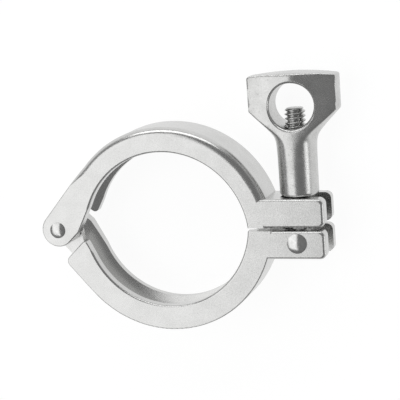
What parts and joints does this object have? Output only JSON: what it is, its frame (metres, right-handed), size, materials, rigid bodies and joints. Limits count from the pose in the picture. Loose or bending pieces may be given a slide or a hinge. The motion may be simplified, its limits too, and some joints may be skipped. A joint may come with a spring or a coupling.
{
  "type": "sanitary hinged clamp",
  "caption": "Two-jaw hinged clamp with an inner V-groove for sanitary tube ferrules, closed by a swing bolt and a winged nut.",
  "frame": {"origin": "middle of the ring on the parting plane, half way across the clamp's width", "axes": "+Z along the ring axis, up when the clamp lies on its side; +X from the hinge to the lugs; +Y from the lower jaw to the upper jaw and the wing nut"},
  "size_m": [0.1216, 0.0988, 0.0202],
  "materials": {
    "cast_jaw_steel": "tumbled satin cast stainless steel",
    "rivet_steel": "bright formed stainless steel",
    "bolt_steel": "machined stainless steel thread",
    "nut_steel": "tumbled cast stainless steel, slightly pitted"
  },
  "bodies": {
    "lower": {"lower_jaw": "cast_jaw_steel", "hinge_pin": "rivet_steel", "bolt_pin": "rivet_steel"},
    "upper": {"upper_jaw": "cast_jaw_steel"},
    "bolt": {"eye_bolt": "bolt_steel"},
    "nut": {"wing_nut": "nut_steel"}
  },
  "joints": [
    {"name": "jaw_hinge", "type": "hinge", "parent": "lower", "child": "upper", "pos_m": [-0.0453, 0, 0], "axis": [0, 0, 1], "range_deg": [0, 60]},
    {"name": "bolt_swing", "type": "hinge", "parent": "lower", "child": "bolt", "pos_m": [0.0522, -0.0054, 0], "axis": [0, 0, -1], "range_deg": [0, 90]},
    {"name": "nut_travel", "type": "slide", "parent": "bolt", "child": "nut", "axis": [0, 1, 0], "range_m": [0, 0.12357]}
  ],
  "couplings": [
    {"joint": "bolt_swing", "follows": "jaw_hinge", "ratio": 1.5},
    {"joint": "nut_travel", "follows": "jaw_hinge", "m_per_rad": 0.118}
  ]
}
